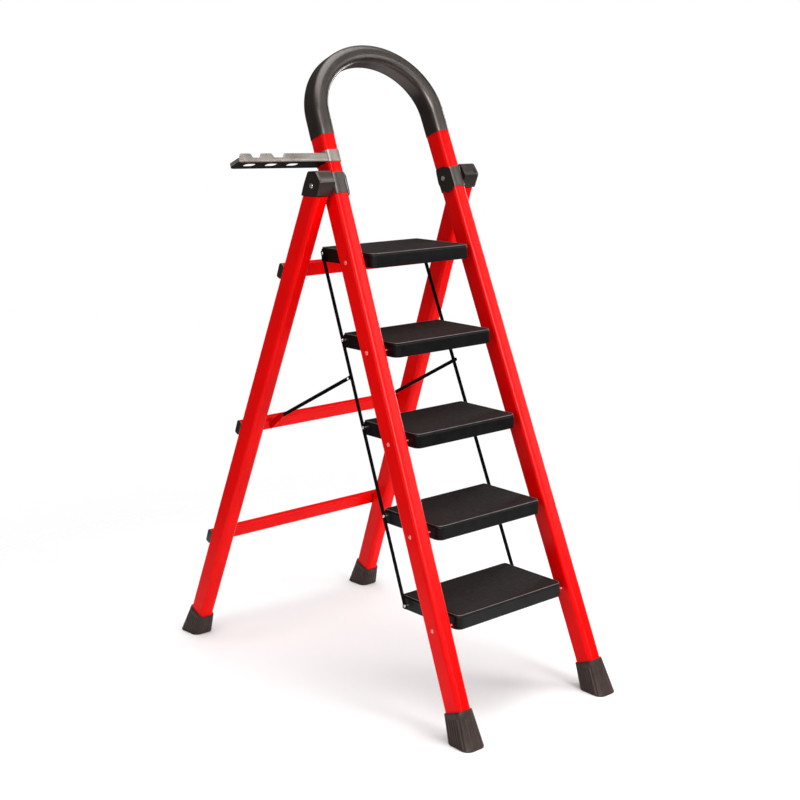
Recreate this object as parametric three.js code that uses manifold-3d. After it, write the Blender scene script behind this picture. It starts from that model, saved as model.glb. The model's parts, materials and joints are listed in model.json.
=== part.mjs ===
// Folding five-step ladder with an arched handrail and a clip-on tool hook.
// Millimetres, +Z up, floor at z = 0. The climber faces +Y and has +X on the right.
// The origin lies on the floor under the middle of the bounding box.

import * as THREE from 'three';
import { mergeVertices } from 'three/addons/utils/BufferGeometryUtils.js';
import Module from 'manifold-3d';

const wasm = await Module();
wasm.setup();

// ---------------------------------------------------------------- driving dimensions

const HINGE_HEIGHT = 1370;
const HINGE_SETBACK = 10; // hinge axis behind the middle of the footprint
const FOOT_REACH = 551; // middle of the footprint to a foot's centre
const FRONT_HALF_WIDTH = { hinge: 209.5, foot: 250 };
const REAR_HALF_WIDTH = { hinge: 260.7, foot: 330 };

const TUBE = { width: 45, depth: 62, corner: 14, wall: 1 };
const CLEAR = 0.3; // gap between touching pieces
const SHANK_GAP = 0.5; // round a rivet's shank
const ROUND_SIDES = 8;

const STEP_COUNT = 5;
const FIRST_PIVOT_HEIGHT = 274;
const STEP_RISE = 225;
const PAN = { front: 37, rear: 184, top: 18, height: 35, wall: 1, frontCorner: 18, rearCorner: 8 };
const PAN_INSET = 46; // pan side inboard of the upright's centreline
const PAN_LEAST_HALF_WIDTH = 176;
const BOTTOM_PAN_OFFSET = { back: 12, up: 7 };
const MAT = { thickness: 3, inset: 3 };

const LINK_ARM = { back: 170, up: 5 }; // link rivet from the step's pivot
const LINK_ROD = { inset: 36, width: 11, thickness: 3, endMargin: 9 };
const STRUT = { width: 10, thickness: 2.5, offset: 6.5, slot: 11 };
const STRUT_TOP_HEIGHT = 858; // strut pin on the link rod
const STRUT_FOOT = { below: 716.5, forward: 6 }; // strut stud, from the hinge along the rear leg
const STRUT_FOOT_X = 201.4;

const PIVOT_RIVET = { shank: 2.5, head: 5.5, rise: 2.2, tail: 5 };
const SMALL_RIVET = { shank: 2.5, head: 4.2, rise: 2, tail: 4 };
const HINGE_PIN = { shank: 4, head: 6.5, rise: 2.4, tail: 6.5 };

const FOOT = { rimWall: 4.5, width: 70, depth: 80, tubeEnd: 24 };
const FRONT_FOOT_HEIGHT = 86;
const REAR_FOOT_HEIGHT = 74;

const SLEEVE = { gap: 1, wall: 1.5, start: 130, bendStart: 183, rise: 175 };
const UPRIGHT_TOP = 150; // joint between an upright and the bent handrail tube

const COLLAR = { wall: 2.2, below: 33, above: 24 };
const CAP = { inner: 234, outer: 284.5, bottomHeight: 1342.5, gap: 1, spigotEnd: 62 };
// Upper side outline of a hinge cap about its pin: [towards the rear, up the rear leg].
const CAP_OUTLINE = [[31, -8], [27, 29], [-1, 42], [-31, 24]];

const CROSSBAR = { height: 42, thickness: 20, corner: 6, wall: 1, inset: 9 };
const CROSSBARS_BELOW_HINGE = { top: 268, middle: 766, bottom: 1147 };
const BRACKET = { plate: 2.4, eye: 8, flange: 22, halfHeight: 13 };

const CLAMP = { bottom: 54, top: 86, wall: 1.8 };
const HOOK = { length: 279, depth: 50, sheet: 2, wallHeight: 22, lowWall: 11 };
const HOOK_PLATEAU = 138; // full-height stretch of the front wall, from the clamp
const HOOK_BUMPS = [[176, 210], [241, 272]]; // further full-height stretches
const HOOK_NOSE = 14; // radius of the floor's free corner
const HOOK_SLOTS = { centres: [100, 167, 233], length: 34, width: 20 };

// ---------------------------------------------------------------- worked-out sizes

function makeLeg(halfWidth, reach) {
  const length = Math.hypot(reach, HINGE_HEIGHT);
  return {
    length,
    lean: Math.atan2(reach, HINGE_HEIGHT),
    halfWidth: (below) =>
      halfWidth.hinge + ((halfWidth.foot - halfWidth.hinge) * below) / length,
    taper: Math.atan2(halfWidth.foot - halfWidth.hinge, length),
  };
}

const FRONT_LEG = makeLeg(FRONT_HALF_WIDTH, FOOT_REACH + HINGE_SETBACK);
const REAR_LEG = makeLeg(REAR_HALF_WIDTH, FOOT_REACH - HINGE_SETBACK);
const HALF_TUBE = { width: TUBE.width / 2, depth: TUBE.depth / 2 };

const clampMiddle = (CLAMP.bottom + CLAMP.top) / 2;
const CLAMP_FACE = FRONT_LEG.halfWidth(-CLAMP.bottom) + HALF_TUBE.width + CLEAR + CLAMP.wall;
const HOOK_REACH = CLAMP_FACE + CLEAR + HOOK.length;
const REAR_FOOT_REACH = REAR_HALF_WIDTH.foot + FOOT.width / 2 + 1.9; // the sole's flare
const MIDPLANE_X = (HOOK_REACH - REAR_FOOT_REACH) / 2;

const STEPS = Array.from({ length: STEP_COUNT }, (_, index) => {
  const height = FIRST_PIVOT_HEIGHT + index * STEP_RISE;
  const below = (HINGE_HEIGHT - height) / Math.cos(FRONT_LEG.lean);
  const halfWidth = FRONT_LEG.halfWidth(below);
  return {
    number: index + 1,
    below,
    halfWidth,
    panHalfWidth: Math.max(halfWidth - PAN_INSET, PAN_LEAST_HALF_WIDTH),
    panOffset: index === 0 ? BOTTOM_PAN_OFFSET : { back: 0, up: 0 },
    y: HINGE_SETBACK - below * Math.sin(FRONT_LEG.lean),
    z: height,
  };
});

// ---------------------------------------------------------------- materials

const MATERIALS = {
  redPaint: { color: 0xd90b0b, roughness: 0.3, metalness: 0.2 },
  panPaint: { color: 0x17171a, roughness: 0.45, metalness: 0.2 },
  mat: { color: 0x3a3232, roughness: 0.75, metalness: 0 },
  plastic: { color: 0x453f3a, roughness: 0.5, metalness: 0 },
  rubber: { color: 0x3b332e, roughness: 0.8, metalness: 0 },
  blackSteel: { color: 0x121212, roughness: 0.4, metalness: 0.4 },
  zinc: { color: 0xc9ccd0, roughness: 0.3, metalness: 0.9 },
};

// ---------------------------------------------------------------- geometry helpers

function solidOf(geometry) {
  const bare = geometry.clone();
  bare.deleteAttribute('normal');
  bare.deleteAttribute('uv');
  const merged = mergeVertices(bare, 1e-3);
  const index = merged.index.array;
  const triangles = [];
  for (let i = 0; i < index.length; i += 3) {
    const [a, b, c] = [index[i], index[i + 1], index[i + 2]];
    if (a !== b && b !== c && c !== a) {
      triangles.push(a, b, c);
    }
  }
  return new wasm.Manifold(new wasm.Mesh({
    numProp: 3,
    vertProperties: new Float32Array(merged.attributes.position.array),
    triVerts: new Uint32Array(triangles),
  }));
}

function geometryOf(solid) {
  const mesh = solid.getMesh();
  const geometry = new THREE.BufferGeometry();
  geometry.setAttribute('position', new THREE.BufferAttribute(mesh.vertProperties, 3));
  geometry.setIndex(new THREE.BufferAttribute(mesh.triVerts, 1));
  geometry.computeVertexNormals();
  return geometry;
}

function roundedRectangle(PathType, width, depth, corner) {
  const path = new PathType();
  const x = width / 2 - corner;
  const y = depth / 2 - corner;
  path.absarc(x, -y, corner, -Math.PI / 2, 0, false);
  path.absarc(x, y, corner, 0, Math.PI / 2, false);
  path.absarc(-x, y, corner, Math.PI / 2, Math.PI, false);
  path.absarc(-x, -y, corner, Math.PI, 1.5 * Math.PI, false);
  path.closePath();
  return path;
}

// The tube's outline grown by a margin all round, as a filled shape.
function tubeOutline(margin, PathType = THREE.Shape) {
  const { width, depth, corner } = TUBE;
  return roundedRectangle(PathType, width + 2 * margin, depth + 2 * margin, corner + margin);
}

function ringOutline(innerMargin, outerMargin) {
  const shape = tubeOutline(outerMargin);
  shape.holes.push(tubeOutline(innerMargin, THREE.Path));
  return shape;
}

function extrudeUp(shape, from, to, curveSegments = 1) {
  const settings = { depth: to - from, bevelEnabled: false, curveSegments };
  return new THREE.ExtrudeGeometry(shape, settings).translate(0, 0, from);
}

// Side outlines are drawn as (towards the rear, up) and extruded along +X.
function extrudeAcross(points, from, to) {
  const shape = new THREE.Shape(points.map(([rear, up]) => new THREE.Vector2(rear, up)));
  const settings = { depth: to - from, bevelEnabled: false };
  return new THREE.ExtrudeGeometry(shape, settings)
    .rotateY(Math.PI / 2)
    .rotateX(Math.PI / 2)
    .translate(from, 0, 0);
}

function box(x, y, z) {
  const geometry = new THREE.BoxGeometry(x[1] - x[0], y[1] - y[0], z[1] - z[0]);
  return geometry.translate((x[0] + x[1]) / 2, (y[0] + y[1]) / 2, (z[0] + z[1]) / 2);
}

function bore(radius, length, x, y, z) {
  const geometry = new THREE.CylinderGeometry(radius, radius, length, ROUND_SIDES);
  return solidOf(geometry.rotateZ(Math.PI / 2).translate(x, y, z));
}

// A fastener along +X: a domed head at x = 0, a shank, and a flat tail at the far end.
function fastener({ shank, head, rise, tail }, length) {
  const profile = [
    [0, -rise],
    [head * 0.65, -rise * 0.75],
    [head, 0],
    [shank, 0],
    [shank, length],
    [tail, length],
    [tail, length + 1.2],
    [0, length + 1.2],
  ].map(([radius, along]) => new THREE.Vector2(radius, along));
  const turned = new THREE.LatheGeometry(profile, ROUND_SIDES);
  return geometryOf(solidOf(turned.rotateZ(-Math.PI / 2)));
}

function addMesh(parent, name, geometry, material) {
  const mesh = new THREE.Mesh(geometry, new THREE.MeshStandardMaterial(MATERIALS[material]));
  mesh.name = name;
  parent.add(mesh);
  return mesh;
}

// Moves a geometry drawn about a tube's centreline to that tube: z stays the
// distance above the hinge, measured along the leg.
function ontoTube(geometry, leg, side) {
  return geometry
    .rotateY(-side * leg.taper)
    .translate(side * leg.halfWidth(0), 0, 0);
}

// A level slab between two heights in a leg frame's own coordinates, for level cuts
// (direction 1 at the front, -1 at the rear).
function levelSlab(from, to, leg, direction) {
  const slab = box([-600, 600], [-700, 700], [from, to]).translate(0, 0, -HINGE_HEIGHT);
  return solidOf(slab.rotateX(direction * leg.lean));
}

const SIDES = { left: -1, right: 1 };

// ---------------------------------------------------------------- shared leg pieces

function legTube(leg, side, from, to) {
  return ontoTube(extrudeUp(ringOutline(-TUBE.wall, 0), from, to), leg, side);
}

function footGeometry(leg, side, height, direction) {
  const bottom = -leg.length - 40;
  const top = -leg.length + height;
  const shoe = extrudeUp(tubeOutline(FOOT.rimWall), bottom, top);
  const rim = { width: TUBE.width + 2 * FOOT.rimWall, depth: TUBE.depth + 2 * FOOT.rimWall };
  const position = shoe.attributes.position;
  for (let i = 0; i < position.count; i += 1) {
    const share = (top - position.getZ(i)) / height;
    position.setX(i, position.getX(i) * (1 + share * (FOOT.width / rim.width - 1)));
    position.setY(i, position.getY(i) * (1 + share * (FOOT.depth / rim.depth - 1)));
  }
  const socketFloor = -leg.length + FOOT.tubeEnd - CLEAR;
  const socket = extrudeUp(tubeOutline(CLEAR), socketFloor, top + 1);
  return geometryOf(
    solidOf(ontoTube(shoe, leg, side))
      .subtract(solidOf(ontoTube(socket, leg, side)))
      .subtract(levelSlab(-300, 0, leg, direction)),
  );
}

// ---------------------------------------------------------------- front frame

function frontUpright(side) {
  let upright = solidOf(legTube(FRONT_LEG, side, -FRONT_LEG.length + FOOT.tubeEnd, UPRIGHT_TOP));
  for (const step of STEPS) {
    upright = upright.subtract(
      bore(PIVOT_RIVET.shank + SHANK_GAP, 80, side * step.halfWidth, 0, -step.below),
    );
  }
  upright = upright.subtract(
    bore(HINGE_PIN.shank + SHANK_GAP, 80, side * FRONT_HALF_WIDTH.hinge, 0, 0),
  );
  if (side === SIDES.left) {
    const outerWall = side * (CLAMP_FACE - 5);
    upright = upright.subtract(bore(SMALL_RIVET.shank + SHANK_GAP, 20, outerWall, 0, clampMiddle));
  }
  return geometryOf(upright);
}

// The handrail's centreline in the front frame: two short straights and half an ellipse.
class HandrailCurve extends THREE.Curve {
  constructor(start) {
    super();
    this.straight = SLEEVE.bendStart - start;
    this.halfSpan = FRONT_LEG.halfWidth(-SLEEVE.bendStart);
    this.bend = (Math.PI * (this.halfSpan + SLEEVE.rise)) / 2;
  }

  getPoint(t, target = new THREE.Vector3()) {
    const along = t * (this.bend + 2 * this.straight) - this.straight;
    if (along < 0 || along > this.bend) {
      const before = along < 0;
      const drop = before ? -along : along - this.bend;
      const x = FRONT_LEG.halfWidth(drop - SLEEVE.bendStart);
      return target.set(before ? -x : x, 0, SLEEVE.bendStart - drop);
    }
    const angle = Math.PI * (1 - along / this.bend);
    const x = this.halfSpan * Math.cos(angle);
    return target.set(x, 0, SLEEVE.bendStart + SLEEVE.rise * Math.sin(angle));
  }
}

// An extrusion along the handrail: the outline's width lies in the frame's plane.
function alongHandrail(start, innerMargin, outerMargin, steps) {
  const quarterTurn = (margin, PathType) => {
    const { width, depth, corner } = TUBE;
    const size = [depth + 2 * margin, width + 2 * margin];
    return roundedRectangle(PathType, ...size, corner + margin);
  };
  const shape = quarterTurn(outerMargin, THREE.Shape);
  shape.holes.push(quarterTurn(innerMargin, THREE.Path));
  const extrudePath = new HandrailCurve(start);
  return new THREE.ExtrudeGeometry(shape, { steps, extrudePath, curveSegments: 1 });
}

// A saddle round the front, inner and rear faces of an upright, open on the outer face
// where the cap of the rear leg lies.
function collarGeometry(side) {
  const ring = extrudeUp(ringOutline(CLEAR, CLEAR + COLLAR.wall), -COLLAR.below, COLLAR.above);
  const outer = [HALF_TUBE.width - 1, HALF_TUBE.width + 10];
  const slice = box(side > 0 ? outer : [-outer[1], -outer[0]], [-50, 50], [-60, 60]);
  return geometryOf(
    solidOf(ontoTube(ring, FRONT_LEG, side))
      .subtract(solidOf(ontoTube(slice, FRONT_LEG, side)))
      .subtract(bore(HINGE_PIN.shank + SHANK_GAP, 80, side * FRONT_HALF_WIDTH.hinge, 0, 0)),
  );
}

function addHingePins(frame) {
  const innerFace = FRONT_HALF_WIDTH.hinge - HALF_TUBE.width - CLEAR - COLLAR.wall;
  const length = CAP.outer - innerFace + 2 * CLEAR;
  for (const [word, side] of Object.entries(SIDES)) {
    const pin = addMesh(frame, `hinge_pin_${word}`, fastener(HINGE_PIN, length), 'zinc');
    pin.position.x = side * (CAP.outer + CLEAR);
    pin.rotation.z = side > 0 ? Math.PI : 0;
  }
}

function addStepRivets(frame) {
  for (const step of STEPS) {
    const reach = step.halfWidth + HALF_TUBE.width - step.panHalfWidth;
    const length = reach + PAN.wall + 3 * CLEAR;
    for (const [word, side] of Object.entries(SIDES)) {
      const name = `step_${step.number}_pivot_${word}`;
      const rivet = addMesh(frame, name, fastener(PIVOT_RIVET, length), 'redPaint');
      rivet.position.set(side * (step.halfWidth + HALF_TUBE.width + CLEAR), 0, -step.below);
      rivet.rotation.z = side > 0 ? Math.PI : 0;
    }
  }
}

function hookFrontWall() {
  const slope = 5; // run of each bump's sloping side
  const points = [[0, 0], [0, HOOK.wallHeight - 4], [4, HOOK.wallHeight]];
  points.push([HOOK_PLATEAU, HOOK.wallHeight], [HOOK_PLATEAU + slope, HOOK.lowWall]);
  for (const [start, end] of HOOK_BUMPS) {
    points.push([start - slope, HOOK.lowWall], [start, HOOK.wallHeight]);
    points.push([end, HOOK.wallHeight], [end + slope, HOOK.lowWall]);
  }
  points.push([HOOK.length - 12, HOOK.lowWall]);
  points.push([HOOK.length, 3]);
  points.push([HOOK.length, 0]);
  const shape = new THREE.Shape(points.map(([along, up]) => new THREE.Vector2(along, up)));
  const settings = { depth: HOOK.sheet, bevelEnabled: false };
  return solidOf(new THREE.ExtrudeGeometry(shape, settings).rotateX(Math.PI / 2));
}

function hookFloor() {
  const { length, depth, sheet } = HOOK;
  const shape = new THREE.Shape();
  shape.moveTo(0, 0);
  shape.lineTo(length - 1, 0);
  shape.lineTo(length, 1);
  shape.lineTo(length, depth - HOOK_NOSE);
  shape.absarc(length - HOOK_NOSE, depth - HOOK_NOSE, HOOK_NOSE, 0, Math.PI / 2, false);
  shape.lineTo(0, depth);
  shape.closePath();
  const straight = (HOOK_SLOTS.length - HOOK_SLOTS.width) / 2;
  for (const centre of HOOK_SLOTS.centres) {
    const slot = new THREE.Path();
    const radius = HOOK_SLOTS.width / 2;
    slot.absarc(centre + straight, depth / 2, radius, -Math.PI / 2, Math.PI / 2, false);
    slot.absarc(centre - straight, depth / 2, radius, Math.PI / 2, 1.5 * Math.PI, false);
    slot.closePath();
    shape.holes.push(slot);
  }
  return solidOf(extrudeUp(shape, 0, sheet, 2));
}

// A low wall round the free end of the floor.
function hookLip() {
  const { length, depth, sheet, lowWall } = HOOK;
  const turn = HOOK_NOSE - sheet;
  const shape = new THREE.Shape();
  shape.moveTo(length, -sheet);
  shape.lineTo(length, depth - HOOK_NOSE);
  shape.absarc(length - HOOK_NOSE, depth - HOOK_NOSE, HOOK_NOSE, 0, Math.PI / 2, false);
  shape.absarc(length - HOOK_NOSE, depth - HOOK_NOSE, turn, Math.PI / 2, 0, true);
  shape.lineTo(length - sheet, -sheet);
  shape.closePath();
  return solidOf(extrudeUp(shape, 0, lowWall, 2));
}

// The hook is drawn with its length along +X and turned to point away on the left.
function hookArm() {
  const rootPlate = solidOf(box([0, HOOK.sheet], [-HOOK.sheet, HOOK.depth], [0, 30]));
  const screwHole = bore(SMALL_RIVET.shank + SHANK_GAP, 10, 0, HALF_TUBE.depth, 16);
  return geometryOf(
    hookFrontWall().add(hookFloor()).add(hookLip()).add(rootPlate).subtract(screwHole),
  );
}

function mirrored(geometry) {
  return geometryOf(solidOf(geometry).mirror([1, 0, 0]));
}

function addHook(frame) {
  const side = SIDES.left;
  const band = extrudeUp(ringOutline(CLEAR, CLEAR + CLAMP.wall), CLAMP.bottom, CLAMP.top);
  const hole = bore(SMALL_RIVET.shank + SHANK_GAP, 20, side * (CLAMP_FACE - 5), 0, clampMiddle);
  const clamp = solidOf(ontoTube(band, FRONT_LEG, side)).subtract(hole);
  addMesh(frame, 'hook_clamp', geometryOf(clamp), 'blackSteel');

  const arm = addMesh(frame, 'hook_arm', mirrored(hookArm()), 'blackSteel');
  arm.position.set(side * (CLAMP_FACE + CLEAR), -HALF_TUBE.depth, CLAMP.bottom);
  arm.rotation.y = FRONT_LEG.taper;

  const screw = addMesh(frame, 'hook_screw', fastener(SMALL_RIVET, 10), 'zinc');
  screw.position.set(side * (CLAMP_FACE + HOOK.sheet + 3 * CLEAR), 0, clampMiddle);
}

function addFrontFrame(ladder) {
  const frame = new THREE.Group();
  frame.position.set(0, HINGE_SETBACK, HINGE_HEIGHT);
  frame.rotation.x = -FRONT_LEG.lean;
  ladder.add(frame);
  for (const [word, side] of Object.entries(SIDES)) {
    addMesh(frame, `front_upright_${word}`, frontUpright(side), 'redPaint');
    const foot = footGeometry(FRONT_LEG, side, FRONT_FOOT_HEIGHT, 1);
    addMesh(frame, `front_foot_${word}`, foot, 'rubber');
    addMesh(frame, `hinge_collar_${word}`, collarGeometry(side), 'plastic');
  }
  const coreStart = UPRIGHT_TOP + 2 * CLEAR;
  addMesh(frame, 'handrail_tube', alongHandrail(coreStart, -TUBE.wall, 0, 22), 'redPaint');
  const sleeve = alongHandrail(SLEEVE.start, SLEEVE.gap, SLEEVE.gap + SLEEVE.wall, 26);
  addMesh(frame, 'handrail_sleeve', sleeve, 'plastic');
  addHingePins(frame);
  addStepRivets(frame);
  addHook(frame);
}

// ---------------------------------------------------------------- rear frame

// Both the cap and the tube below it end level when the ladder is open.
function capGeometry(side) {
  const drop = (behind) => (CAP.bottomHeight - HINGE_HEIGHT - behind * Math.sin(REAR_LEG.lean))
    / Math.cos(REAR_LEG.lean);
  const depth = HALF_TUBE.depth;
  const outline = [[-depth, drop(-depth)], [depth, drop(depth)], ...CAP_OUTLINE];
  const block = extrudeAcross(outline, CAP.inner, CAP.outer);
  if (side < 0) {
    block.translate(-CAP.inner - CAP.outer, 0, 0);
  }
  const spigot = extrudeUp(tubeOutline(-TUBE.wall - 2 * CLEAR), -CAP.spigotEnd, -10);
  return geometryOf(
    solidOf(block)
      .add(solidOf(ontoTube(spigot, REAR_LEG, side)))
      .subtract(bore(HINGE_PIN.shank + SHANK_GAP, 80, side * REAR_HALF_WIDTH.hinge, 0, 0)),
  );
}

function rearUpright(side) {
  const tubeTop = CAP.bottomHeight - CAP.gap;
  const tube = legTube(REAR_LEG, side, -REAR_LEG.length + FOOT.tubeEnd, 0);
  return geometryOf(solidOf(tube).subtract(levelSlab(tubeTop, tubeTop + 300, REAR_LEG, -1)));
}

function crossbarGeometry(below) {
  const { height, thickness, corner, wall, inset } = CROSSBAR;
  const shape = roundedRectangle(THREE.Shape, height, thickness, corner);
  shape.holes.push(
    roundedRectangle(THREE.Path, height - 2 * wall, thickness - 2 * wall, corner - wall),
  );
  const half = REAR_LEG.halfWidth(below) + HALF_TUBE.width - inset;
  const settings = { depth: 2 * half, bevelEnabled: false, curveSegments: 1 };
  return new THREE.ExtrudeGeometry(shape, settings)
    .translate(0, 0, -half)
    .rotateY(Math.PI / 2)
    .translate(0, HALF_TUBE.depth + CLEAR + thickness / 2, -below);
}

// A plate that reaches forward from the middle crossbar and carries the strut's stud.
function strutBracket(side) {
  const bar = CROSSBARS_BELOW_HINGE.middle;
  const plateInner = STRUT_FOOT_X + STRUT.thickness / 2 + CLEAR;
  const plateOuter = plateInner + BRACKET.plate;
  const back = HALF_TUBE.depth;
  const { halfHeight } = BRACKET;
  const eye = new THREE.Vector2(-STRUT_FOOT.forward, -STRUT_FOOT.below);
  const outline = [];
  for (const degrees of [45, 75, 105, 135, 165, 195, 225]) {
    const angle = (degrees * Math.PI) / 180;
    outline.push([
      eye.x + BRACKET.eye * Math.cos(angle),
      eye.y + BRACKET.eye * Math.sin(angle),
    ]);
  }
  outline.push([back - 8, -bar - halfHeight]);
  outline.push([back, -bar - halfHeight], [back, -bar + halfHeight]);
  const plate = solidOf(extrudeAcross(outline.reverse(), plateInner, plateOuter));
  const flange = solidOf(box(
    [plateInner, plateOuter + BRACKET.flange],
    [back - BRACKET.plate, back],
    [-bar - halfHeight, -bar + halfHeight],
  ));
  // The stud ends flush with the strut, because the link rod passes there as it folds.
  const studLength = BRACKET.plate + STRUT.thickness + CLEAR;
  const { shank } = SMALL_RIVET;
  const stud = new THREE.CylinderGeometry(shank, shank, studLength, ROUND_SIDES)
    .rotateZ(Math.PI / 2)
    .translate(plateOuter - studLength / 2, eye.x, eye.y);
  const geometry = geometryOf(plate.add(flange).add(solidOf(stud)));
  return side > 0 ? geometry : mirrored(geometry);
}

function addRearFrame(ladder) {
  const frame = new THREE.Group();
  frame.position.set(0, HINGE_SETBACK, HINGE_HEIGHT);
  frame.rotation.x = REAR_LEG.lean;
  ladder.add(frame);
  for (const [word, side] of Object.entries(SIDES)) {
    addMesh(frame, `rear_upright_${word}`, rearUpright(side), 'redPaint');
    const foot = footGeometry(REAR_LEG, side, REAR_FOOT_HEIGHT, -1);
    addMesh(frame, `rear_foot_${word}`, foot, 'rubber');
    addMesh(frame, `hinge_cap_${word}`, capGeometry(side), 'plastic');
    addMesh(frame, `strut_bracket_${word}`, strutBracket(side), 'redPaint');
  }
  for (const [place, below] of Object.entries(CROSSBARS_BELOW_HINGE)) {
    addMesh(frame, `crossbar_${place}`, crossbarGeometry(below), 'redPaint');
  }
}

// ---------------------------------------------------------------- steps

// Plan outline of a step, pulled in by a margin: big front corners, small rear ones.
function stepOutline(step, margin) {
  const half = step.panHalfWidth - margin;
  const front = PAN.frontCorner - margin;
  const rear = PAN.rearCorner - margin;
  const near = step.panOffset.back - PAN.front + margin;
  const far = step.panOffset.back + PAN.rear - margin;
  const shape = new THREE.Shape();
  shape.absarc(half - front, near + front, front, -Math.PI / 2, 0, false);
  shape.absarc(half - rear, far - rear, rear, 0, Math.PI / 2, false);
  shape.absarc(-half + rear, far - rear, rear, Math.PI / 2, Math.PI, false);
  shape.absarc(-half + front, near + front, front, Math.PI, 1.5 * Math.PI, false);
  shape.closePath();
  return shape;
}

function panGeometry(step) {
  const top = PAN.top + step.panOffset.up;
  const bottom = top - PAN.height;
  const outside = solidOf(extrudeUp(stepOutline(step, 0), bottom, top));
  const inside = extrudeUp(stepOutline(step, PAN.wall), bottom - 1, top - PAN.wall);
  const width = 2 * step.halfWidth;
  return geometryOf(
    outside
      .subtract(solidOf(inside))
      .subtract(bore(PIVOT_RIVET.shank + SHANK_GAP, width, 0, 0, 0))
      .subtract(bore(SMALL_RIVET.shank + SHANK_GAP, width, 0, LINK_ARM.back, LINK_ARM.up)),
  );
}

function addStep(ladder, step) {
  const group = new THREE.Group();
  group.position.set(0, step.y, step.z);
  ladder.add(group);
  addMesh(group, `step_${step.number}_pan`, panGeometry(step), 'panPaint');
  const matBottom = PAN.top + step.panOffset.up + CLEAR;
  const mat = extrudeUp(stepOutline(step, MAT.inset), matBottom, matBottom + MAT.thickness);
  addMesh(group, `step_${step.number}_mat`, mat, 'mat');

  const rodFace = step.halfWidth - LINK_ROD.inset + LINK_ROD.thickness / 2 + CLEAR;
  const length = rodFace - (step.panHalfWidth - PAN.wall) + CLEAR;
  for (const [word, side] of Object.entries(SIDES)) {
    const name = `step_${step.number}_link_rivet_${word}`;
    const rivet = addMesh(group, name, fastener(SMALL_RIVET, length), 'zinc');
    rivet.position.set(side * rodFace, LINK_ARM.back, LINK_ARM.up);
    rivet.rotation.z = side > 0 ? Math.PI : 0;
  }
}

// ---------------------------------------------------------------- linkage

function barOutline(width, top, bottom) {
  const shape = new THREE.Shape();
  shape.absarc(0, top, width / 2, 0, Math.PI, false);
  shape.absarc(0, bottom, width / 2, Math.PI, 2 * Math.PI, false);
  shape.closePath();
  return shape;
}

// Flat bars are drawn in the plane of X = 0: z along the bar, y across it.
function flatBar(width, thickness, top, bottom, slots) {
  const shape = barOutline(width, top, bottom);
  for (const { at, radius, length } of slots) {
    const slot = new THREE.Path();
    slot.absarc(0, at, radius, 0, Math.PI, false);
    slot.absarc(0, at - length, radius, Math.PI, 2 * Math.PI, false);
    slot.closePath();
    shape.holes.push(slot);
  }
  const settings = { depth: thickness, bevelEnabled: false, curveSegments: 2 };
  return new THREE.ExtrudeGeometry(shape, settings)
    .translate(0, 0, -thickness / 2)
    .rotateX(Math.PI / 2)
    .rotateZ(Math.PI / 2);
}

// The rod's points in the front frame: how far below the hinge and behind the centreline.
const LINK_RISE = LINK_ARM.back * Math.sin(FRONT_LEG.lean)
  + LINK_ARM.up * Math.cos(FRONT_LEG.lean);
const LINK_SETBACK = LINK_ARM.back * Math.cos(FRONT_LEG.lean)
  - LINK_ARM.up * Math.sin(FRONT_LEG.lean);

// Where the strut's pin sits: on the rod's line at its given height.
const STRUT_TOP_BELOW = (HINGE_HEIGHT - STRUT_TOP_HEIGHT
  - LINK_SETBACK * Math.sin(FRONT_LEG.lean)) / Math.cos(FRONT_LEG.lean);
const ROD_X_AT_STRUT = FRONT_LEG.halfWidth(STRUT_TOP_BELOW + LINK_RISE) - LINK_ROD.inset;

function addLinkRod(ladder, word, side) {
  const frame = new THREE.Group();
  frame.position.set(0, HINGE_SETBACK, HINGE_HEIGHT);
  frame.rotation.x = -FRONT_LEG.lean;
  ladder.add(frame);

  const radius = SMALL_RIVET.shank + SHANK_GAP;
  const heights = STEPS.map((step) => LINK_RISE - step.below);
  heights.push(-STRUT_TOP_BELOW);
  const eyes = heights.map((height) => height / Math.cos(FRONT_LEG.taper));
  eyes.sort((a, b) => b - a);
  const slots = eyes.map((at) => ({ at, radius, length: 0.01 }));
  const margin = LINK_ROD.endMargin - LINK_ROD.width / 2;
  const [top, bottom] = [eyes[0] + margin, eyes[eyes.length - 1] - margin];
  const rod = flatBar(LINK_ROD.width, LINK_ROD.thickness, top, bottom, slots);
  rod.rotateY(-side * FRONT_LEG.taper);
  rod.translate(side * (FRONT_LEG.halfWidth(LINK_RISE) - LINK_ROD.inset), LINK_SETBACK, 0);
  addMesh(frame, `link_rod_${word}`, rod, 'blackSteel');

  const length = LINK_ROD.thickness + 2 * CLEAR;
  const pinHead = { ...SMALL_RIVET, tail: SMALL_RIVET.shank };
  const pin = addMesh(frame, `strut_pin_${word}`, fastener(pinHead, length), 'zinc');
  const inner = ROD_X_AT_STRUT - LINK_ROD.thickness / 2 - CLEAR;
  pin.position.set(side * inner, LINK_SETBACK, -STRUT_TOP_BELOW);
  pin.rotation.z = side > 0 ? 0 : Math.PI;
}

// A point of a leg frame in ladder coordinates, as [y, z].
function legPoint(lean, behind, below) {
  return [
    HINGE_SETBACK + behind * Math.cos(lean) - below * Math.sin(lean),
    HINGE_HEIGHT - behind * Math.sin(lean) - below * Math.cos(lean),
  ];
}

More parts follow.
